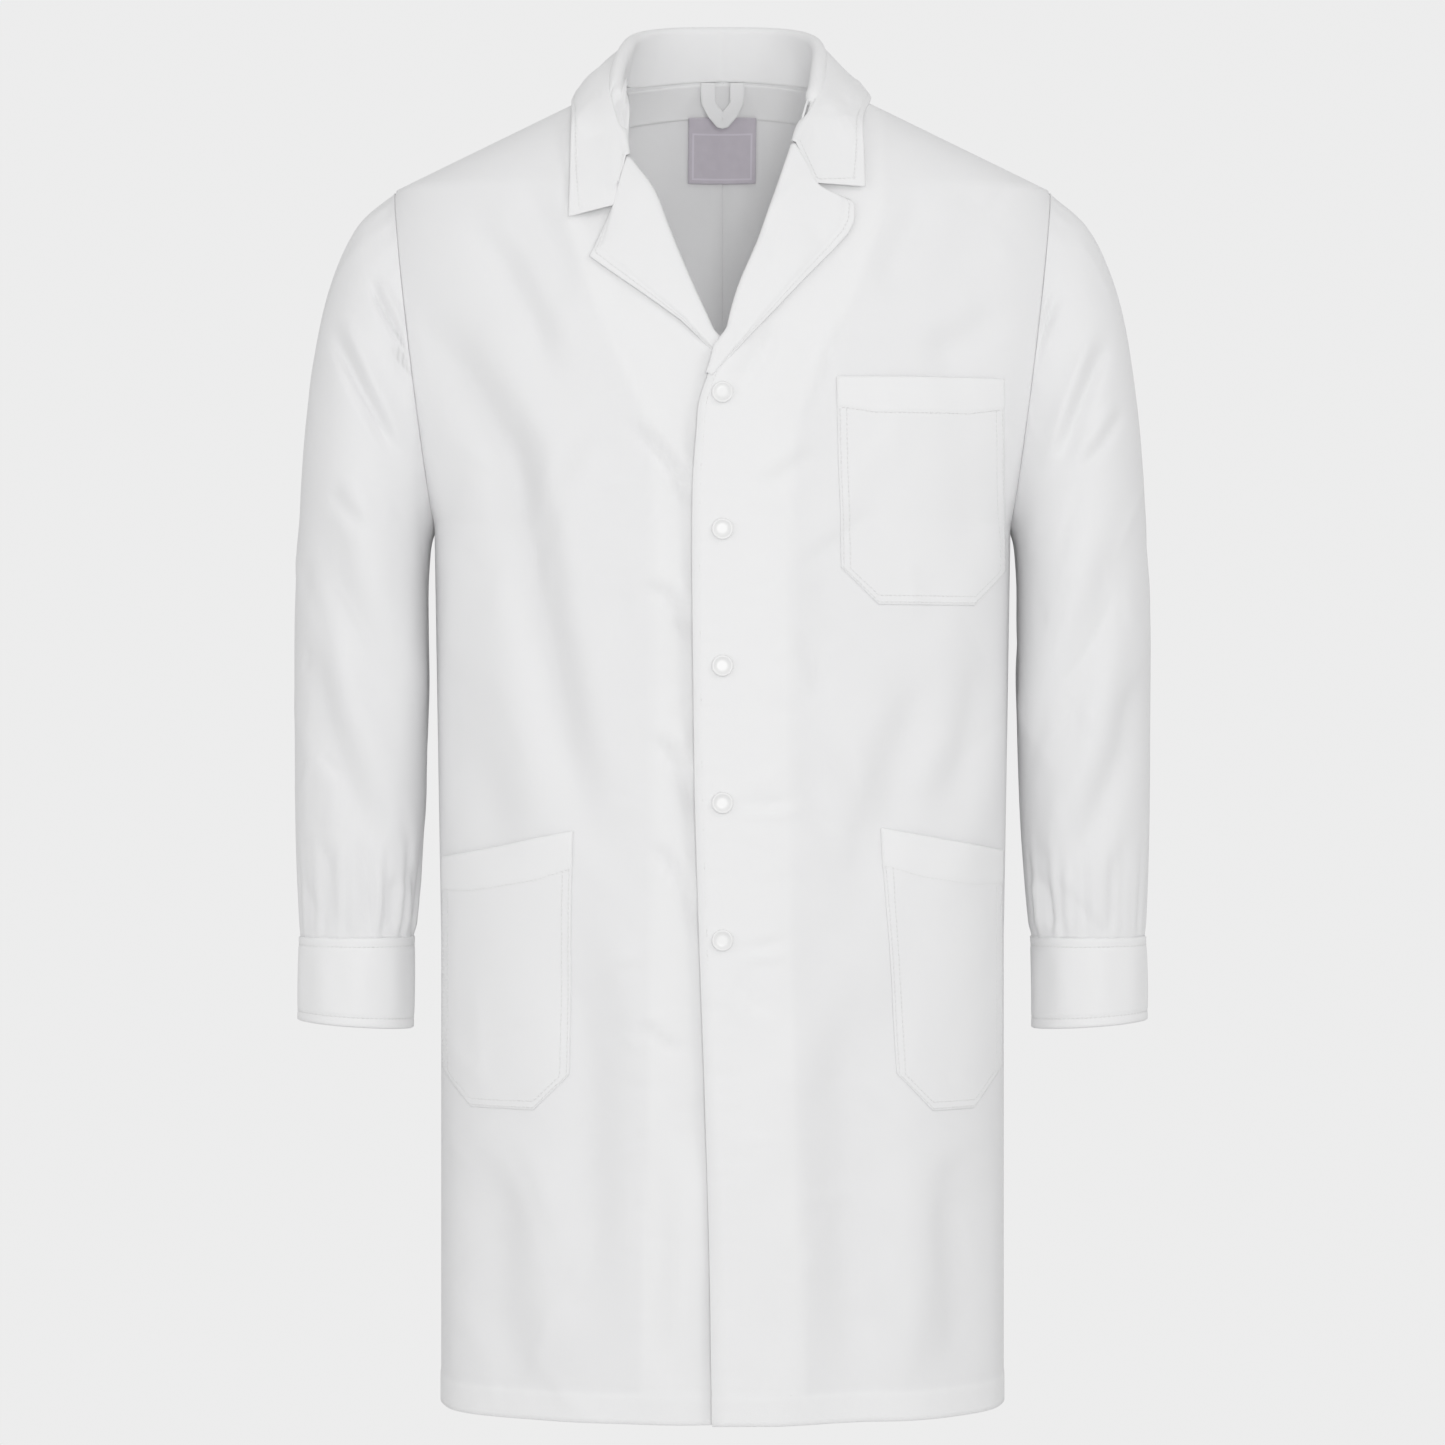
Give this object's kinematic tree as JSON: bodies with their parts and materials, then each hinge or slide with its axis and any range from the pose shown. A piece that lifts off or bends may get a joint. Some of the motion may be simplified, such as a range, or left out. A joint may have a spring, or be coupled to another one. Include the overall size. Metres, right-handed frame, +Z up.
{
  "type": "lab coat",
  "caption": "White knee-length laboratory coat with notched lapels, press studs down the front, chest pocket, hip pockets, cuffed sleeves and a hanger loop.",
  "frame": {"origin": "the centre-back neck seam, where the hanger loop is sewn in and a hook or a wearer's neck holds the coat up", "axes": "+Z up the coat, +X towards the wearer's left sleeve, -Y the way the coat faces"},
  "size_m": [0.629, 0.2597, 1.0166],
  "materials": {
    "cloth": "plain white polyester-cotton twill, matte",
    "tape": "white woven tape",
    "label": "lilac-grey woven label, blank",
    "stud_plastic": "white moulded plastic, satin"
  },
  "bodies": {
    "coat_body": {"front_right": "cloth", "facing_right": "cloth", "lapel_right": "cloth", "back_right": "cloth", "hip_pocket_right": "cloth", "front_left": "cloth", "facing_left": "cloth", "lapel_left": "cloth", "back_left": "cloth", "hip_pocket_left": "cloth", "chest_pocket": "cloth", "collar_upper": "cloth", "collar_under": "cloth", "neck_facing": "cloth", "neck_label": "label", "stud_1_cap": "stud_plastic", "stud_1_socket": "stud_plastic", "stud_1_stud": "stud_plastic", "stud_1_post": "stud_plastic", "stud_2_cap": "stud_plastic", "stud_2_socket": "stud_plastic", "stud_2_stud": "stud_plastic", "stud_2_post": "stud_plastic", "stud_3_cap": "stud_plastic", "stud_3_socket": "stud_plastic", "stud_3_stud": "stud_plastic", "stud_3_post": "stud_plastic", "stud_4_cap": "stud_plastic", "stud_4_socket": "stud_plastic", "stud_4_stud": "stud_plastic", "stud_4_post": "stud_plastic", "stud_5_cap": "stud_plastic", "stud_5_socket": "stud_plastic", "stud_5_stud": "stud_plastic", "stud_5_post": "stud_plastic"},
    "left_arm": {"sleeve_left": "cloth", "cuff_left": "cloth"},
    "right_arm": {"sleeve_right": "cloth", "cuff_right": "cloth"},
    "left_skirt": {"front_left_skirt": "cloth", "facing_left_skirt": "cloth"},
    "right_skirt": {"front_right_skirt": "cloth", "facing_right_skirt": "cloth"},
    "hanger": {"hanger_loop": "tape"}
  },
  "joints": [
    {"name": "left_sleeve_raise", "type": "hinge", "parent": "coat_body", "child": "left_arm", "pos_m": [0.24, -0.062, -0.0912], "axis": [0, -1, 0], "range_deg": [0, 70]},
    {"name": "right_sleeve_raise", "type": "hinge", "parent": "coat_body", "child": "right_arm", "pos_m": [-0.24, -0.062, -0.0912], "axis": [0, 1, 0], "range_deg": [0, 70]},
    {"name": "left_skirt_open", "type": "hinge", "parent": "coat_body", "child": "left_skirt", "pos_m": [0.098, -0.1788, -0.82], "axis": [0, 0, 1], "range_deg": [0, 80]},
    {"name": "right_skirt_open", "type": "hinge", "parent": "coat_body", "child": "right_skirt", "pos_m": [-0.098, -0.1788, -0.82], "axis": [0, 0, -1], "range_deg": [0, 32]},
    {"name": "hanger_loop_flip", "type": "hinge", "parent": "coat_body", "child": "hanger", "pos_m": [0, -0.0018, -0.001], "axis": [-1, 0, 0], "range_deg": [0, 150]}
  ],
  "couplings": [
    {"joint": "right_skirt_open", "follows": "left_skirt_open", "ratio": 0.4}
  ]
}
